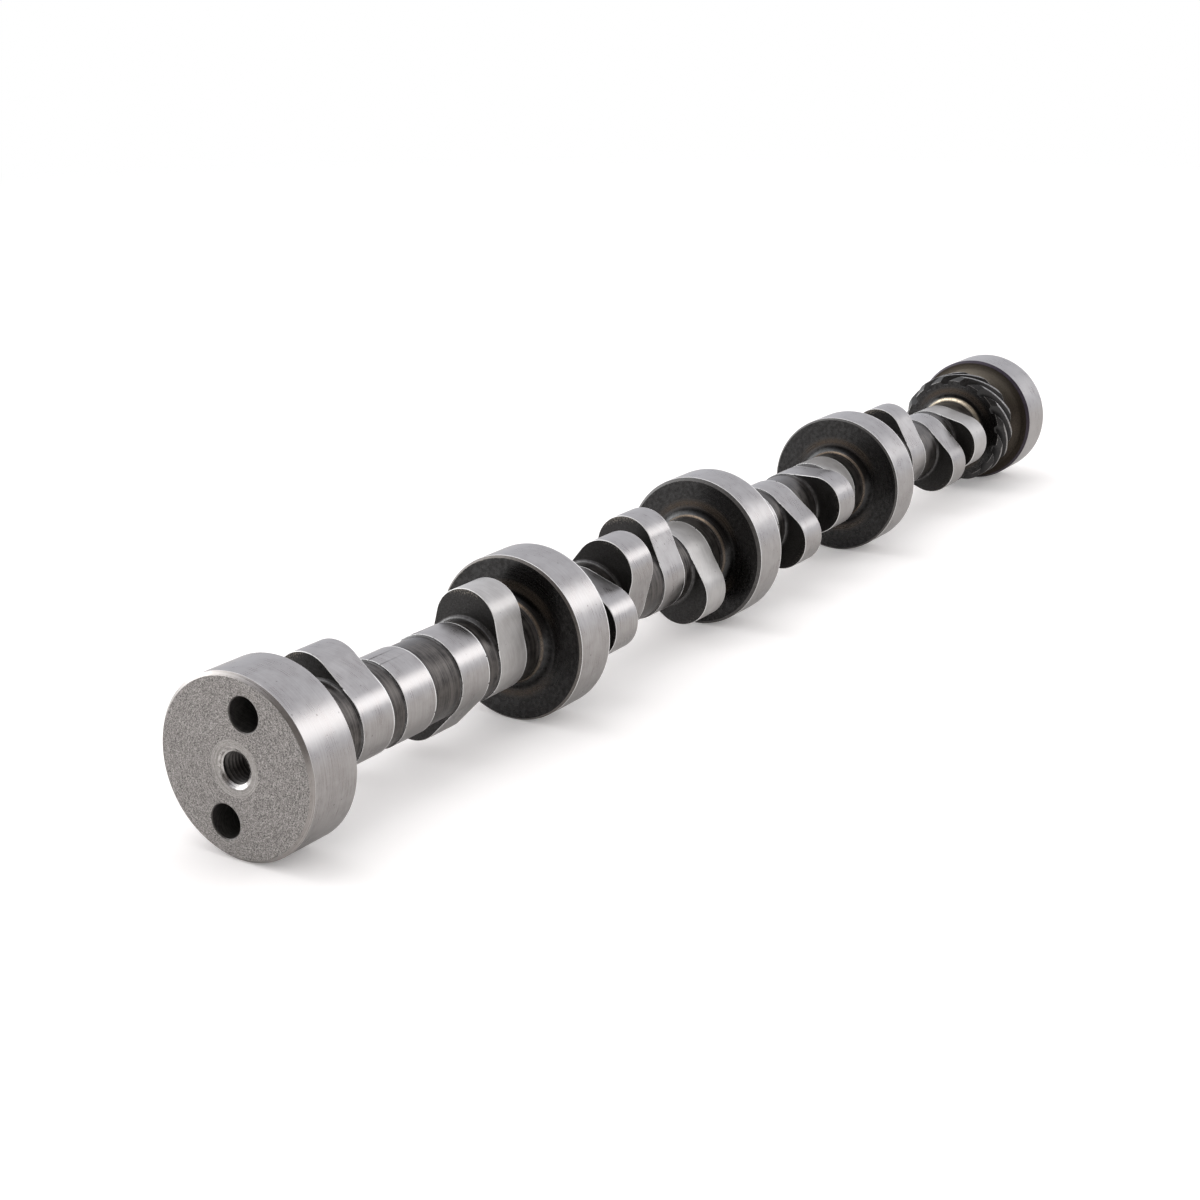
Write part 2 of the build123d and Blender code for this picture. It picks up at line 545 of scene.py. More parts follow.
@dataclass(frozen=True, eq=False)
class Steel:
    """One finish of the steel.

    Attributes:
        name: Name of the material.
        colour: Linear colour of the lighter places.
        shade: Linear colour of the darker places.
        metallic: How much it reflects as bare metal.
        roughness: Its least roughness.
        spread: How much rougher its roughest lines are.
        lines: Tool lines per metre.
        streak: Breaks along a line, per metre.
        mottle: Slow patches per metre.
        contrast: Share of lines, against mottle, in the colour.
        relief: Depth of the bump in millimetres.
        specks: How many specks it has, from 0 to 1.
        pits: Strength of its curled marks, from 0 to 1.
        specular: Strength of its reflection where it isn't bare metal.
        rim: Grey of its reflection where it is seen edge on.
        dull: How much its patches dull the reflection of a dark skin, from 0 to 1.
        painted_light_rings: Rings of painted light.
        wear_and_sheen: Speckled band where it is rubbed through, with painted sheen where the light falls.
    """

    name: str
    colour: Triple
    shade: Triple
    metallic: float
    roughness: float
    spread: float = 0.1
    lines: float = 5000.0
    streak: float = 60.0
    mottle: float = 900.0
    contrast: float = 0.5
    relief: float = 0.004
    specks: float = 0.0
    pits: float = 0.0
    specular: float = 0.5
    rim: float = 1.0
    dull: float = 0.0
    painted_light_rings: tuple[Tint, ...] = ()
    wear_and_sheen: Wear | None = None

    def material(self, effects: Effects) -> Material:
        """Builds the material.

        Args:
            effects: The shared node groups.

        Returns:
            The material.
        """
        made = bpy.data.materials.new(self.name)
        board = Board.of(made)
        place = board.add("TexCoord").outputs["Object"]
        grain = {"Lines": self.lines, "Streak": self.streak, "Mottle": self.mottle}
        lines, mottle = board.group(effects.grain, Position=place, **grain)
        mottle = board.ramp(mottle, 0.32, 0.68)
        both = board.add("Mix", {"data_type": "FLOAT"}, Factor=self.contrast)
        board.feed(both.inputs[2], mottle)
        board.feed(both.inputs[3], board.ramp(lines, 0.3, 0.7))
        height = both.outputs[0]
        rough = board.math("ADD", self.roughness, board.math("MULTIPLY", height, self.spread))
        colour = board.mix(height, self.shade, self.colour)
        metal = board.math("MULTIPLY_ADD", mottle, self.dull, self.metallic)
        # Rings of painted light: painted highlights, a painted reflection and painted shade.
        for tint in self.painted_light_rings:
            size = {"Radius": tint.radius * MM, "Width": tint.width * MM}
            ring = board.group(effects.ring, Position=place, Even=tint.even, Below=tint.below, **size)[0]
            patchy = board.math("MULTIPLY_ADD", mottle, 0.4 * tint.share, 0.8 * tint.share)
            share = board.math("MINIMUM", board.math("MULTIPLY", ring, patchy), 1.0)
            colour = board.mix(share, colour, tint.colour)
            metal = board.math("MAXIMUM", metal, share)
        # Rubbed-through specks, gathered over the top left by painted sheen where the light falls.
        if self.wear_and_sheen:
            size = {"Inner": self.wear_and_sheen.inner * MM, "Outer": self.wear_and_sheen.outer * MM, "Even": self.wear_and_sheen.even}
            wear_and_sheen_share = board.group(effects.wear_and_sheen, Position=place, **size)[0]
            colour = board.mix(wear_and_sheen_share, colour, self.wear_and_sheen.colour)
            metal = board.math("MAXIMUM", metal, board.math("MULTIPLY", wear_and_sheen_share, 0.8))
        if self.specks:
            mask = board.group(effects.specks, Position=place, Sparse=1 - 0.2 * self.specks)[0]
            colour = board.mix(board.math("MULTIPLY", mask, 0.5), colour, SPECK)
        if self.pits:
            depth = board.math("MULTIPLY", board.group(effects.pits, Position=place)[0], self.pits)
            colour = board.mix(depth, colour, PIT)
            height = board.math("SUBTRACT", height, board.math("MULTIPLY", depth, 1.5))
        bump = board.add("Bump", Strength=1.0, Distance=self.relief * MM, Height=height).outputs[0]
        shader = board.add("BsdfPrincipled", Base_Color=colour, Metallic=metal, Roughness=rough, Normal=bump)
        shader.inputs["Specular IOR Level"].default_value = self.specular
        shader.inputs["Specular Tint"].default_value = (self.rim, self.rim, self.rim, 1.0)
        board.add("OutputMaterial", Surface=shader.outputs[0])
        return made


SPECK = (0.06, 0.05, 0.045)
PIT = (0.045, 0.04, 0.036)
# Painted highlight: a golden line on the fillet at the foot of each journal's side, strongest straight above
# the axis.
GOLD_LINE_HIGHLIGHT = Tint(13.15, 0.5, (0.22, 0.165, 0.117), 0.8, even=0.5, below=0.5)
# Painted highlight: a bright golden band on the fillet at the gear's rear foot, strongest straight above the
# axis.
GEAR_GOLD_HIGHLIGHT = Tint(13.5, 0.95, (0.66, 0.56, 0.42), 0.95, even=0.25, below=0.2)
# Painted shade: a near-black ring over the fillet where a side meets the shaft, nearly even all round.
FOOT_SHADE = Tint(15.0, 1.7, (0.0012, 0.0009, 0.0007), 0.8, even=0.85, below=0.9)
# Painted reflection: a soft brown arc above and below the axis, standing in for a shallow turned step
# catching the light.
BROWN_RING_REFLECTION = Tint(17.1, 2.2, (0.075, 0.057, 0.043), 0.7, below=0.8)
# Painted highlight: a pale ring over the top of the front journal's back.
PALE_TOP_HIGHLIGHT = Tint(22.0, 3.6, (0.20, 0.175, 0.14), 0.75)
# Rubbed-through specks near each journal's rim, with painted sheen: they gather over the top left, where the
# light falls.
JOURNAL_RIM = Wear(23.6, 25.8, even=0.2)
# Rubbed-through specks on the lobe sides towards the nose, with painted sheen over the top left.
LOBE_NOSE = Wear(16.0, 22.6, (0.20, 0.18, 0.155), 0.75)

GROUND = Steel(
    "ground_land", (0.385, 0.371, 0.362), (0.272, 0.256, 0.248), 1.0, 0.25, 0.12,
    lines=3600, streak=110, mottle=170, relief=0.0018, specks=0.5, rim=0.8,
)
# Painted light: a brighter, more diffuse copy of the ground land for the lobes just behind a journal, making
# up for the shade that the journal's dark wall casts into their reflection.
WALLED_BRIGHTENED = replace(
    GROUND, name="walled_land_brightened", colour=(0.455, 0.441, 0.43), shade=(0.325, 0.31, 0.3),
    metallic=0.55, roughness=0.3,
)
# Bright ground edges; the same finish paints a glint strip along the front edge of the lands.
EDGE_AND_GLINT = Steel(
    "bright_edge_and_glint", (0.84, 0.83, 0.82), (0.62, 0.61, 0.60), 0.35, 0.42,
    lines=4000, streak=200, mottle=800, contrast=0.4, relief=0.001,
)
WORN = Steel(
    "worn_rim", (0.15, 0.136, 0.125), (0.08, 0.071, 0.065), 0.55, 0.32, lines=4000,
)
DULL_RIM = replace(
    WORN, name="dull_rim", colour=(0.078, 0.072, 0.068), shade=(0.03, 0.027, 0.025),
    metallic=0.1, roughness=0.4,
)
CHAMFER = Steel(
    "turned_chamfer", (0.36, 0.339, 0.324), (0.242, 0.222, 0.208), 0.82, 0.26, 0.12,
    mottle=500, contrast=0.75, relief=0.006,
)
SINK = Steel(
    "countersink", (0.62, 0.60, 0.58), (0.16, 0.15, 0.14), 1.0, 0.2, 0.15,
    streak=80, relief=0.01,
)
BLASTED = Steel(
    "blasted_face", (0.52, 0.49, 0.467), (0.10, 0.092, 0.086), 0.45, 0.44, 0.18,
    lines=2600, streak=500, mottle=4300, contrast=0.4, relief=0.05, pits=1.0,
)
SPOT = Steel(
    "spot_faced_ring", (0.46, 0.44, 0.42), (0.2, 0.186, 0.175), 0.6, 0.38, 0.15,
    streak=120, mottle=1500, contrast=0.7, relief=0.02, pits=0.35,
)
# Black oxide sides, with rings of painted light and rubbed-through rims with painted sheen.
OXIDE = Steel(
    "black_oxide_side", (0.0045, 0.0036, 0.0032), (0.0014, 0.0011, 0.001), 0.0, 0.2, 0.14,
    lines=2600, mottle=700, relief=0.003, specular=0.6, dull=0.45,
    painted_light_rings=(FOOT_SHADE, BROWN_RING_REFLECTION, GOLD_LINE_HIGHLIGHT), wear_and_sheen=JOURNAL_RIM,
)
UNWORN = replace(OXIDE, name="unworn_side", wear_and_sheen=None)
GEAR_SIDE = replace(UNWORN, name="gear_side", painted_light_rings=(FOOT_SHADE, BROWN_RING_REFLECTION, GEAR_GOLD_HIGHLIGHT))
# Black lobe sides, with rubbed-through specks towards the nose and painted sheen over the top left.
LOBE_SIDE = Steel(
    "black_lobe_side", (0.02, 0.018, 0.0165), (0.0016, 0.0013, 0.0012), 0.0, 0.26, 0.2,
    lines=1500, streak=250, mottle=2000, contrast=0.3, relief=0.02, specular=0.6, dull=0.6, wear_and_sheen=LOBE_NOSE,
)
FOOT = Steel(
    "dark_foot", (0.105, 0.102, 0.101), (0.012, 0.0105, 0.0095), 0.6, 0.17, 0.12,
    lines=2600, mottle=700, contrast=0.6, relief=0.01,
)
SHAFT = Steel(
    "turned_shaft", (0.125, 0.113, 0.104), (0.006, 0.005, 0.0045), 0.8, 0.26, 0.24,
    lines=2600, streak=45, mottle=280, contrast=0.6, relief=0.016,
)
BORE = Steel(
    "drilled_bore", (0.13, 0.122, 0.116), (0.035, 0.032, 0.03), 0.7, 0.34, 0.2,
    contrast=0.6, relief=0.01,
)
# Brown back of the front journal, with a painted highlight ring over the top.
BROWN = Steel(
    "brown_front_side", (0.062, 0.048, 0.034), (0.020, 0.0155, 0.011), 0.6, 0.34, 0.15,
    lines=3500, streak=80, mottle=2300, contrast=0.35, relief=0.008, painted_light_rings=(PALE_TOP_HIGHLIGHT,),
)
VIOLET = Steel(
    "violet_chamfer", (0.040, 0.030, 0.042), (0.014, 0.010, 0.014), 0.7, 0.32, 0.12,
    mottle=600,
)
TOOTH = Steel(
    "black_tooth", (0.020, 0.0185, 0.018), (0.005, 0.0046, 0.0043), 0.1, 0.26, 0.2,
    lines=1500, streak=400, mottle=1300, contrast=0.3, relief=0.01,
)
CREST = Steel(
    "tooth_crest", (0.34, 0.33, 0.32), (0.05, 0.046, 0.043), 0.9, 0.3, 0.15,
    lines=2500, streak=300, mottle=1300, contrast=0.3, relief=0.004,
)


@dataclass(frozen=True)
class Zone:
    """Faces of a piece that share a finish.

    Attributes:
        finish: Their finish.
        x: Least and greatest station.
        r: Least and greatest distance from the shaft's axis.
        lean: Least and greatest share of the normal that points along the shaft.
        broken: Whether only the faces that break an edge count.
    """

    finish: Steel
    x: tuple[float, float] = ANY
    r: tuple[float, float] = ANY
    lean: tuple[float, float] = ANY
    broken: bool = False

    def holds(self, measures: Sequence[float], broken: bool) -> bool:
        """Says whether a face belongs here, by its x, r and lean and whether it breaks an edge."""
        spans = zip(measures, (self.x, self.r, self.lean))
        return broken >= self.broken and all(low <= value <= high for value, (low, high) in spans)


class Finishes:
    """Materials of the finishes, each built when it is first used."""

    def __init__(self) -> None:
        """Builds the node groups."""
        self.effects = Effects()
        self.made: dict[Steel, Material] = {}

    def dress(self, piece: Piece, zones: Sequence[Zone]) -> None:
        """Gives each face of a piece its finish, and hands the piece over to the frame.

        Args:
            piece: Piece to dress.
            zones: Its zones. A face has the finish of the first one that holds it.
        """
        pick(piece)
        bpy.ops.object.shade_smooth_by_angle(angle=math.radians(SMOOTH_ANGLE))
        modified(piece, "WEIGHTED_NORMAL", keep_sharp=True)
        faces, materials = piece.data.polygons, piece.data.materials
        chosen = []
        for face in faces:
            x, y, z = face.center / MM
            measures = (x, math.hypot(y, z), min(abs(face.normal.x), 1.0))
            broken = face.material_index == BROKEN
            chosen.append(next(zone.finish for zone in zones if zone.holds(measures, broken)))
        used = list(dict.fromkeys(chosen))
        materials.clear()
        for finish in used:
            if finish not in self.made:
                self.made[finish] = finish.material(self.effects)
            materials.append(self.made[finish])
        for face, finish in zip(faces, chosen):
            face.material_index = used.index(finish)
        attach(piece, "root")
        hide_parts("camshaft")
        LOG.info("%s: %d faces", piece.name, len(faces))


# Pieces


@dataclass
class TurnedBlank:
    """Shaft with its five journals, feet, gear neck and nose, turned in one, and the holes of its ends.

    A pair is a radius and its depth or the station where it ends, with three exceptions. The back break
    is a length and a depth, the mouth a flare and a depth, and the flanks say where the crest lies.
    """

    rear_width: float = 17.67
    front_land: float = 17.18
    edge_break: float = 0.5
    rim_breaks: Triple = (0.75, 1.05, 0.75)
    rear_break: float = 1.1
    gear_back: float = -41.5
    neck_radius: float = 19.0
    back_break: tuple[float, float] = (1.6, 0.9)
    hub: tuple[float, float] = (18.25, 6.35)
    pilot: tuple[float, float] = (9.5, 12.35)
    nose_break: float = 0.8
    bolt_sink: tuple[float, float] = (5.5, 2.65)
    bolt_hole: tuple[float, float] = (3.97, 30.0)
    bolt_point: float = 2.39
    spot: tuple[float, float] = (7.8, 0.15)
    sink: tuple[float, float] = (5.65, 0.87)
    centre_hole: tuple[float, float] = (4.4, 26.0)
    thread_root: float = 5.05
    thread_start: float = 1.1
    thread_end: float = 17.0
    thread_pitch: float = 1.25
    thread_flanks: tuple[float, float] = (0.55, 0.7)
    thread_turns: int = 10
    drive_hole: Triple = (4.7625, 15.875, 14.0)
    drive_turn: float = 14.7
    dowel_hole: Triple = (3.175, 13.6, 14.0)
    mouth: tuple[float, float] = (1.4, 0.25)
    # Width of the painted glint strip along the front edge of the middle journals' lands.
    glint_strip: float = 0.4

    def rear_end(self) -> list[Corner]:
        """Profile from the bottom of the rear centre hole, over the rear journal, to its foot.

        Returns:
            The corners.
        """
        radius = LAYOUT.journal_radius(5)
        hole, depth = self.centre_hole
        sink, sink_depth = self.sink
        spot, spot_depth = self.spot
        end = self.rear_width
        return profile(
            LAYOUT.rear_face,
            (depth + hole * DRILL_POINT, 0), (depth, hole),
            (self.thread_end + 0.6, hole), (self.thread_end, self.thread_root),
            (self.thread_start, self.thread_root), (sink_depth, hole, 0.05),
            (spot_depth, sink, 0.1), (0, spot, 0.3),
            (0, radius - self.rear_break, 0.2), (self.rear_break, radius, 0.3),
            (end - self.edge_break, radius, 0.15), (end, radius - self.edge_break, 0.15),
            (end, LAYOUT.shaft_radius, LAYOUT.foot),
        )

    def middle_journal(self, number: int) -> list[Corner]:
        """Profile of one of the journals 2 to 4 with both feet.

        Args:
            number: Its number from the front.

        Returns:
            The corners.
        """
        centre = LAYOUT.second_journal - LAYOUT.bore_pitch * (number - 2)
        radius = LAYOUT.journal_radius(number)
        rim_break = self.rim_breaks[number - 2]
        corners = []
        for way in (-1, 1):
            face = centre + way * LAYOUT.journal_width / 2
            side = profile(
                face,
                (0, LAYOUT.shaft_radius, LAYOUT.foot),
                (0, radius - rim_break, 0.1),
                (-way * rim_break, radius, 0.45),
            )
            if way > 0:
                # Splits the land where the painted glint strip along its front edge starts.
                side.append(Corner(face - rim_break - self.glint_strip, radius))
            corners += side if way < 0 else side[::-1]
        return corners

    def front_end(self) -> list[Corner]:
        """Profile from the gear's foot over the front journal and the nose to the bolt hole's bottom.

        Returns:
            The corners.
        """
        radius = LAYOUT.journal_radius(1)
        length, depth = self.back_break
        back = -self.front_land - length
        hub, hub_end = self.hub
        pilot, nose = self.pilot
        sink, sink_depth = self.bolt_sink
        bolt, bolt_depth = self.bolt_hole
        return profile(
            0,
            (self.gear_back, LAYOUT.shaft_radius, LAYOUT.foot), (self.gear_back, self.neck_radius),
            (back, self.neck_radius, LAYOUT.foot), (back, radius - depth, 0.2),
            (back + length, radius, 0.3), (-self.edge_break, radius, 0.15),
            (0, radius - self.edge_break, 0.15), (0, hub, 0.3),
            (hub_end - self.nose_break, hub, 0.2), (hub_end, hub - self.nose_break, 0.2),
            (hub_end, pilot, 0.3), (nose - self.nose_break, pilot, 0.2),
            (nose, pilot - self.nose_break, 0.2), (nose, sink, 0.1),
            (nose - sink_depth, bolt, 0.1), (nose - bolt_depth, bolt),
            (nose - bolt_depth - self.bolt_point, 0),
        )

    def drill(self, size: Triple, turn: float, face: float, side: Side) -> Piece:
        """Makes the cutter for a blind hole beside the axis, with a lightly broken mouth.

        Args:
            size: Radius, distance from the axis and depth.
            turn: Where it sits around the axis.
            face: Station of the face that it is drilled in.
            side: Which way the face looks.

        Returns:
            The cutter.
        """
        radius, circle, depth = size
        flare, mouth_depth = self.mouth
        wall = ((mouth_depth, radius, 0.1), (depth, radius), (depth + radius * DRILL_POINT, 0))
        rows = ((-1, 0), (-1, radius + flare), *wall)
        cutter = turned("cutter", profile(face, *((-side.value * x, *rest) for x, *rest in rows)), HOLE_STEPS)
        placed(cutter, (0, *radial(circle, turn)))
        return cutter

    def build(self) -> Piece:
        """Turns the blank and drills the holes beside the axis.

        Returns:
            The piece.
        """
        corners = self.rear_end()
        for number in (4, 3, 2):
            corners += self.middle_journal(number)
        piece = turned("turned_blank", corners + self.front_end())
        for turn in (self.drive_turn, self.drive_turn + 180):
            combined(piece, self.drill(self.drive_hole, turn, LAYOUT.rear_face, Side.REAR), "DIFFERENCE")
        combined(piece, self.drill(self.dowel_hole, 0, self.hub[1], Side.FRONT), "DIFFERENCE")
        return piece

    def thread(self) -> Piece:
        """Winds the thread of the rear centre hole as one ridge.

        Returns:
            The piece.
        """
        start = LAYOUT.rear_face + self.thread_start + 0.05
        crest, root = self.centre_hole[0], self.thread_root + 0.1
        rise, fall = self.thread_flanks
        ridge = [(0, root), (rise, crest), (fall, crest), (self.thread_pitch, root)]
        piece = drawn("rear_thread", [(start + x, 0, r) for x, r in ridge])
        wind = {"axis": "X", "screw_offset": self.thread_pitch * MM, "iterations": self.thread_turns}
        modified(piece, "SCREW", steps=48, render_steps=48, use_merge_vertices=True, **wind)
        with editing(piece):
            welded(inside=True)
        return piece

    def zones(self) -> list[Zone]:
        """Lists the zones of the blank.

        Returns:
            The zones.
        """
        rear = LAYOUT.rear_face
        thread_end = rear + self.thread_end
        rear_land = LAYOUT.journal_radius(5) - self.rear_break
        front = LAYOUT.second_journal + LAYOUT.journal_width / 2
        fronts = [front - LAYOUT.bore_pitch * step - width for step, width in enumerate(self.rim_breaks)]
        land = {"r": (24, FAR), "lean": (0, 0.12)}
        rim = {"r": (24, FAR), "lean": (0, 0.97)}
        return [
            Zone(SINK, x=(-FAR, rear + 0.9), r=(0, 5.7)),
            Zone(BORE, x=(-FAR, rear + 0.4), r=(10, 21.5), lean=(0, 0.97)),
            Zone(BORE, x=(rear + 0.4, thread_end), r=(0, 22)),
            Zone(BORE, x=(thread_end, rear + 30), r=(0, 5.2)),
            Zone(SHAFT, x=(thread_end, rear + 30), r=(0, 22)),
            Zone(BORE, x=(-25, FAR), r=(0, 4.2)),
            Zone(SPOT, x=(-FAR, rear + 0.4), r=(0, 7.9)),
            Zone(BLASTED, x=(-FAR, rear + 0.4), r=(0, rear_land + 0.05)),
            Zone(CHAMFER, x=(-FAR, rear + self.rear_break + 0.05), r=(rear_land, FAR)),
            Zone(SPOT, x=(0.05, FAR)),
            # Painted glint: a bright strip along the front edge of each middle journal's land.
            *(Zone(EDGE_AND_GLINT, x=(end - self.glint_strip, end), **land) for end in fronts),
            Zone(GROUND, **land),
            Zone(EDGE_AND_GLINT, x=(-FAR, -30), r=(25.3, FAR), lean=(0, 0.62)),
            Zone(VIOLET, x=(-19, -10), **rim),
            Zone(WORN, x=(-10, FAR), **rim),
            Zone(WORN, x=(-FAR, -300), **rim),
            Zone(DULL_RIM, **rim),
            Zone(SPOT, x=(-0.1, FAR)),
            Zone(BROWN, x=(-30, FAR)),
            Zone(SHAFT, r=(0, 12.8)),
            Zone(OXIDE, x=(-FAR, -200)),
            Zone(UNWORN, x=(-FAR, -100)),
            Zone(GEAR_SIDE),
        ]

    def dress(self, piece: Piece, thread: Piece, finishes: Finishes) -> None:
        """Gives the blank and the thread of its rear hole their finishes."""
        finishes.dress(piece, self.zones())
        finishes.dress(thread, [Zone(BORE)])


@dataclass
class Lobes:
    """Sixteen cam lobes, two of them modelled and the rest copied."""

    base: float = 13.0
    lift: dict[Kind, float] = field(default_factory=lambda: {Kind.INTAKE: 8.81, Kind.EXHAUST: 9.07})
    nose: float = 10.75
    width: float = 12.74
    edge_break: float = 0.18
    # Width of the painted glint strip along the front edge of each lobe's land.
    glint_strip: float = 0.28
    foot: float = 1.2
    inner: float = 12.65
    outer: float = 31.3
    per_bank: int = 4
    firing_order: tuple[int, ...] = (1, 3, 7, 2, 6, 5, 4, 8)
    firing_step: float = 45.0
    half_bank: float = 42.3
    centreline: dict[Kind, float] = field(default_factory=lambda: {Kind.INTAKE: 108.0, Kind.EXHAUST: 112.7})
    resting_turn: float = 175.9

    def turn(self, cylinder: int, kind: Kind) -> float:
        """Works out where a lobe's nose points.

        Args:
            cylinder: Cylinder that it serves.
            kind: Valve that it opens.

        Returns:
            The turn of its nose.
        """
        bank = -self.half_bank if cylinder <= self.per_bank else self.half_bank
        half = self.centreline[kind] / 2
        fired = self.resting_turn + self.firing_order.index(cylinder) * self.firing_step
        return fired - bank + (180 + half if kind is Kind.INTAKE else 180 - half)

    def places(self) -> list[tuple[float, int, Kind]]:
        """Lists where the lobes stand.

        Returns:
            Station, cylinder and valve of each, from the front.
        """
        found = []
        for bay in range(4):
            middle = LAYOUT.second_journal + LAYOUT.bore_pitch * (0.5 - bay)
            right, left = bay + 1, bay + 1 + self.per_bank
            found += [
                (middle + self.outer, right, Kind.INTAKE),
                (middle + self.inner, left, Kind.EXHAUST),
                (middle - self.inner, right, Kind.EXHAUST),
                (middle - self.outer, left, Kind.INTAKE),
            ]
        return found

    def model(self, kind: Kind) -> Piece:
        """Models one lobe about X = 0 with its nose straight up.

        Args:
            kind: Valve that it opens.

        Returns:
            The piece.
        """
        half = self.width / 2
        low, high = LAYOUT.shaft_radius + 0.01, 30
        end = half + self.foot + 0.1
        side = [(end, 0), (end, low), (half, low, self.foot), (half, high)]
        rows = [(-x, *rest) for x, *rest in side] + side[::-1]
        blank = turned("lobe_" + kind.value, profile(0, *rows))
        size = {"vertices": LOBE_STEPS, "depth": (self.width + 4) * MM}
        bpy.ops.mesh.primitive_cylinder_add(radius=self.base * MM, rotation=(0, math.pi / 2, 0), **size)
        prism = bpy.context.object
        bpy.ops.object.transform_apply()
        above = (0, 0, (self.base + self.lift[kind] - self.nose) * MM)
        with editing(prism):
            bpy.ops.mesh.primitive_cylinder_add(
                radius=self.nose * MM, rotation=(0, math.pi / 2, 0), location=above, **size
            )
            bpy.ops.mesh.select_all(action="SELECT")
            bpy.ops.mesh.convex_hull(join_triangles=True)
        combined(blank, prism, "INTERSECT")
        with editing(blank):
            # Splits the land where the painted glint strip along its front edge starts.
            bpy.ops.mesh.bisect(plane_co=((half - self.glint_strip) * MM, 0, 0), plane_no=(1, 0, 0))
        edge_broken(blank, self.edge_break)
        return blank

    def build(self) -> list[Piece]:
        """Models both kinds of lobe and sets a copy at each place.

        Returns:
            The sixteen lobes from the front.
        """
        models = {kind: self.model(kind) for kind in Kind}
        made = []
        for number, (station, cylinder, kind) in enumerate(self.places(), 1):
            pick(models[kind])
            bpy.ops.object.duplicate(linked=False)
            lobe = bpy.context.object
            lobe.name = lobe.data.name = f"lobe_{number:02d}"
            placed(lobe, (station, 0, 0), self.turn(cylinder, kind))
            made.append(lobe)
        for model in models.values():
            bpy.data.objects.remove(model)
        return made

    def dress(self, lobes: Sequence[Piece], finishes: Finishes) -> None:
        """Gives each lobe its ground land, bright edges with a painted glint strip along the land's front
        edge, and dark sides, and the lobe just behind each journal a brightened land, painted light against
        the wall's shade.

        Args:
            lobes: The lobes from the front.
            finishes: The finishes.
        """
        for number, (lobe, place) in enumerate(zip(lobes, self.places())):
            front = place[0] + self.width / 2
            zones = [
                Zone(EDGE_AND_GLINT, broken=True),
                Zone(FOOT, r=(0, 13.75), lean=(0.35, 1)),
                Zone(SHAFT, r=(0, 13.75), lean=(0.02, 1)),
                Zone(SHAFT, r=(0, 12.9)),
                Zone(LOBE_SIDE, lean=(0.25, 1)),
                # Painted glint: a bright strip along the front edge of the land only.
                Zone(EDGE_AND_GLINT, x=(front - self.glint_strip, front)),
                # The lobe just behind each journal gets the brightened land: painted light against the shade
                # of the journal's wall.
                Zone(GROUND if number % 4 else WALLED_BRIGHTENED),
            ]
            finishes.dress(lobe, zones)


@dataclass
class DistributorGear:
    """Helical gear behind the front journal."""

    teeth: int = 15
    tip: float = 23.4
    module: float = 1.6
    pressure: float = 20.0
    lead: float = 90.45
    back: float = -41.52
    front: float = -28.0
    end_break: float = 2.0
    edge_break: float = 0.12
    start_turn: float = -0.4

    def tooth(self) -> list[tuple[float, float]]:
        """Works out one tooth across the shaft, with the gap beside it.

        Returns:
            Radius and turn in degrees of every point.
        """
        root = self.tip - 2.25 * self.module
        pitch = self.tip - self.module
        helix = math.atan(2 * math.pi * pitch / self.lead)
        lean = math.atan(math.tan(math.radians(self.pressure)) / math.cos(helix))
        base = pitch * math.cos(lean)
        step = 2 * math.pi / self.teeth

        def half(radius: float) -> float:
            """Returns half a tooth's angle at a radius."""
            angle = math.acos(base / radius)
            return step / 4 + math.tan(lean) - lean - math.tan(angle) + angle

        radii = [root + (self.tip - root) * i / 5 for i in range(6)]
        rising = [(radius, -half(radius)) for radius in radii]
        falling = [(radius, half(radius)) for radius in reversed(radii)]
        floor = [(root, half(root) + (step - 2 * half(root)) * i / 4) for i in range(1, 5)]
        crest = [(self.tip, 0.0)]
        return [(radius, math.degrees(turn)) for radius, turn in rising + crest + falling + floor]

    def build(self) -> Piece:
        """Draws a tooth, copies it around, winds the outline along the shaft and breaks its ends.

        Returns:
            The piece.
        """
        places = [radial(radius, turn + self.start_turn) for radius, turn in self.tooth()]
        piece = drawn("distributor_gear", [(self.back, *place) for place in places])
        width, others = self.front - self.back, self.teeth - 1
        around = {"angle": 2 * math.pi * others / self.teeth, "center": (0, 0, 0), "axis": (1, 0, 0)}
        with editing(piece):
            bpy.ops.mesh.spin(steps=others, dupli=True, **around)
            welded()
        wind = {"screw_offset": width * MM, "angle": math.radians(360 * width / self.lead)}
        modified(piece, "SCREW", axis="X", steps=28, render_steps=28, **wind)
        with editing(piece):
            bpy.ops.mesh.fill_holes(sides=0)
            welded()
        low, over, beyond = self.tip - self.end_break, self.end_break + 0.3, 0.1
        side = [(beyond, 0), (beyond, low - beyond), (-over, low + over)]
        corners = profile(self.back, *((-x, r) for x, r in side)) + profile(self.front, *side[::-1])
        combined(piece, turned("cutter", corners), "INTERSECT")
        edge_broken(piece, self.edge_break)
        return piece

    def dress(self, piece: Piece, finishes: Finishes) -> None:
        """Gives the teeth bright crests on black."""
        zones = [
            Zone(GEAR_SIDE, r=(0, 16.4), lean=(0.9, 1)),
            Zone(CREST, r=(self.tip - 2.3, FAR), broken=True),
            Zone(CREST, r=(self.tip - 0.1, FAR)),
            Zone(TOOTH),
        ]
        finishes.dress(piece, zones)


# Studio


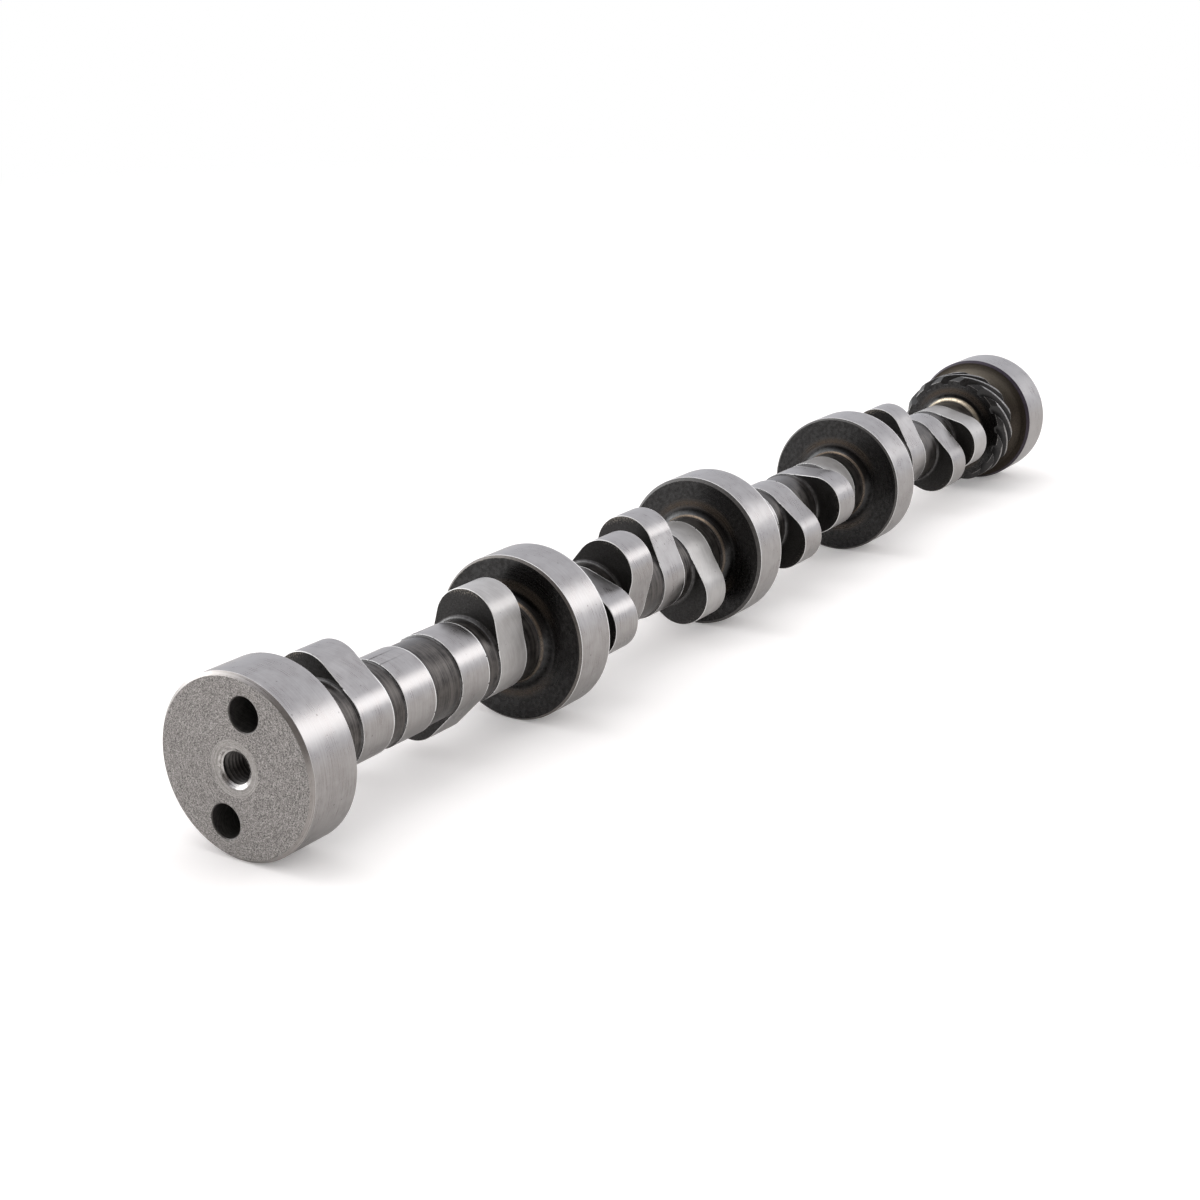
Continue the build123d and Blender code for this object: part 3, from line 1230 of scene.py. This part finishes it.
@dataclass(frozen=True)
class Softbox:
    """Area light aimed at the middle of the shaft.

    Attributes:
        name: Name of the light.
        direction: Where it hangs, as seen from the middle of the shaft.
        distance: How far away, in metres.
        size: Width and height in metres.
        power: Watts.
        colour: Linear colour.
    """

    name: str
    direction: Triple
    distance: float
    size: tuple[float, float]
    power: float
    colour: Triple = (1.0, 1.0, 1.0)

    def hang(self) -> None:
        """Adds the light."""
        middle = Vector((-0.25, 0, 0))
        away = Vector(self.direction).normalized()
        bpy.ops.object.light_add(type="AREA", location=middle + away * self.distance)
        lamp = bpy.context.object
        lamp.name = self.name
        lamp.rotation_euler = away.to_track_quat("Z", "Y").to_euler()
        lamp.data.shape = "RECTANGLE"
        lamp.data.size, lamp.data.size_y = self.size
        lamp.data.energy = self.power
        lamp.data.color = self.colour


@dataclass
class Studio:
    """Floor, surroundings, lights and camera."""

    softboxes: tuple[Softbox, ...] = (
        Softbox("right_softbox", (0.69, -0.595, 0.435), 3.4, (1.8, 1.25), 19.0),
        Softbox("left_softbox", (-0.35, 0.9, 0.27), 1.6, (1.0, 0.8), 5.5, (0.98, 0.98, 1.0)),
        Softbox("top_softbox", (0.0, 0.3, 1.0), 1.7, (1.2, 1.2), 6.0),
    )
    camera_place: Triple = (-842.2, -326.5, 192.1)
    camera_ahead: Triple = (0.8042, 0.5114, -0.3031)
    camera_right: Triple = (0.5366, -0.8439, 0.0)
    lens: float = 59.51
    lands_apart: float = 483.0
    land_middle: float = 8.6
    sensor: float = 36.0

    def floor(self) -> None:
        """Lays the floor under the lowest lines of the two end journals."""
        front, rear = LAYOUT.journal_radius(1), LAYOUT.journal_radius(5)
        slope = (front - rear) / self.lands_apart
        bpy.ops.mesh.primitive_grid_add(x_subdivisions=8, y_subdivisions=8, size=60)
        floor = bpy.context.object
        floor.name = "studio_floor"
        floor.location = (0, 0, -(front + slope * self.land_middle) * MM)
        floor.rotation_euler = (0, math.atan(slope), 0)
        made = bpy.data.materials.new("pale_paper")
        board = Board.of(made)
        place = board.add("TexCoord").outputs["Object"]
        paper = board.noise(place, Scale=40.0, Detail=5.0)
        colour = board.mix(paper, (0.94, 0.915, 0.91), (0.955, 0.93, 0.925))
        shader = board.add("BsdfPrincipled", Base_Color=colour, Roughness=0.75)
        shader.inputs["Specular IOR Level"].default_value = 0.1
        away = board.add("VectorMath", {"operation": "LENGTH"}, place)
        seen = board.add("LightPath").outputs["Is Camera Ray"]
        board.feed(shader.inputs["Emission Strength"], board.math("MULTIPLY", seen, 0.15))
        share = board.math("MULTIPLY", board.ramp(away.outputs["Value"], 0.7, 1.6), seen)
        surface = board.blend(share, shader, board.add("Emission"))
        board.add("OutputMaterial", Surface=surface.outputs[0])
        floor.data.materials.append(made)

    def surroundings(self) -> None:
        """Sets a white surround that is darker where the camera side of the studio is open."""
        world = bpy.data.worlds.new("studio_surround")
        bpy.context.scene.world = world
        board = Board.of(world)
        towards = board.add("TexCoord").outputs["Generated"]
        reflected = (1.14, 1.16, 1.25)
        for direction, low, high, colour in (
            ((-0.78, -0.58, 0.25), 0.1, 0.9, (0.15, 0.13, 0.12)),
            ((-0.15, 0.93, 0.33), 0.72, 0.95, (2.9, 2.95, 3.0)),
        ):
            dot = board.add("VectorMath", {"operation": "DOT_PRODUCT"}, towards, direction)
            reflected = board.mix(board.ramp(dot.outputs["Value"], low, high), reflected, colour)
        rays = board.add("LightPath").outputs
        lit = board.add("Background", Color=(0.98, 0.98, 0.98, 1), Strength=0.95)
        mirrored = board.add("Background", Color=reflected, Strength=1.0)
        seen = board.add("Background", Color=(1, 1, 1, 1), Strength=1.0)
        inner = board.blend(rays["Is Glossy Ray"], lit, mirrored)
        outer = board.blend(rays["Is Camera Ray"], inner, seen)
        board.add("OutputWorld", Surface=outer.outputs[0])

    def camera(self) -> None:
        """Sets the camera at the viewing angle."""
        bpy.ops.object.camera_add()
        camera = bpy.context.object
        camera.name = "studio_camera"
        ahead = Vector(self.camera_ahead).normalized()
        right = Vector(self.camera_right).normalized()
        up = right.cross(ahead).normalized()
        turn = Matrix((right, up, -ahead)).transposed()
        camera.matrix_world = Matrix.Translation(Vector(self.camera_place) * MM) @ turn.to_4x4()
        camera.data.sensor_width = self.sensor
        camera.data.lens = self.lens
        camera.data.clip_start, camera.data.clip_end = 0.01, 200
        bpy.context.scene.camera = camera

    def build(self) -> None:
        """Sets up the whole studio."""
        self.floor()
        self.surroundings()
        for softbox in self.softboxes:
            softbox.hang()
        self.camera()
        bpy.context.scene.view_settings.view_transform = "Standard"


def main() -> None:
    """Builds the shaft's pieces, dresses them and sets up the studio."""
    logging.basicConfig(level=logging.INFO)
    finishes = Finishes()
    blank = TurnedBlank()
    blank.dress(blank.build(), blank.thread(), finishes)
    lobes = Lobes()
    lobes.dress(lobes.build(), finishes)
    gear = DistributorGear()
    gear.dress(gear.build(), finishes)
    Studio().build()


if __name__ == "__main__":
    main()
